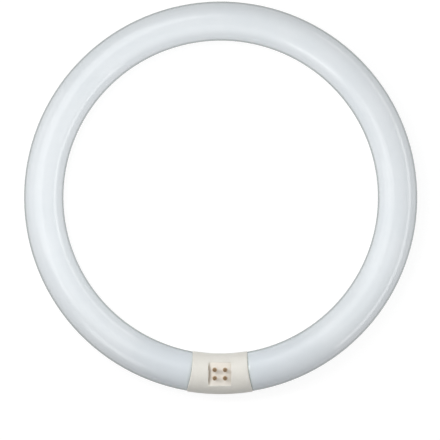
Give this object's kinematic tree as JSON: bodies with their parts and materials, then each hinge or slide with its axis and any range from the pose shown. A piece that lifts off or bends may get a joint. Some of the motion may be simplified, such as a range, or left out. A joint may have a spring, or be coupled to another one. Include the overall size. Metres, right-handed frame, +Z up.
{
  "type": "circular fluorescent tube",
  "caption": "Ring-shaped fluorescent lamp tube of white coated glass, its ends joined by a moulded cap with a recess and contact pins.",
  "frame": {"origin": "centre of the ring in X and Y, on the surface that the tube lies on", "axes": "+Z up, the way the contact pins point; X along the cap; the cap is on the -Y side of the ring"},
  "size_m": [0.305, 0.3054, 0.0353],
  "materials": {
    "coated_glass": "glossy white coated glass, not see-through",
    "cap_plastic": "satin warm off-white moulded plastic",
    "pin_brass": "dull brass",
    "lead_wire": "drawn wire"
  },
  "bodies": {
    "root": {"glass_tube": "coated_glass", "cap_front_shell": "cap_plastic", "cap_rear_shell": "cap_plastic", "pin_left_inner": "pin_brass", "lead_wire_left_inner": "lead_wire", "pin_left_outer": "pin_brass", "lead_wire_left_outer": "lead_wire", "pin_right_inner": "pin_brass", "lead_wire_right_inner": "lead_wire", "pin_right_outer": "pin_brass", "lead_wire_right_outer": "lead_wire"}
  },
  "joints": []
}
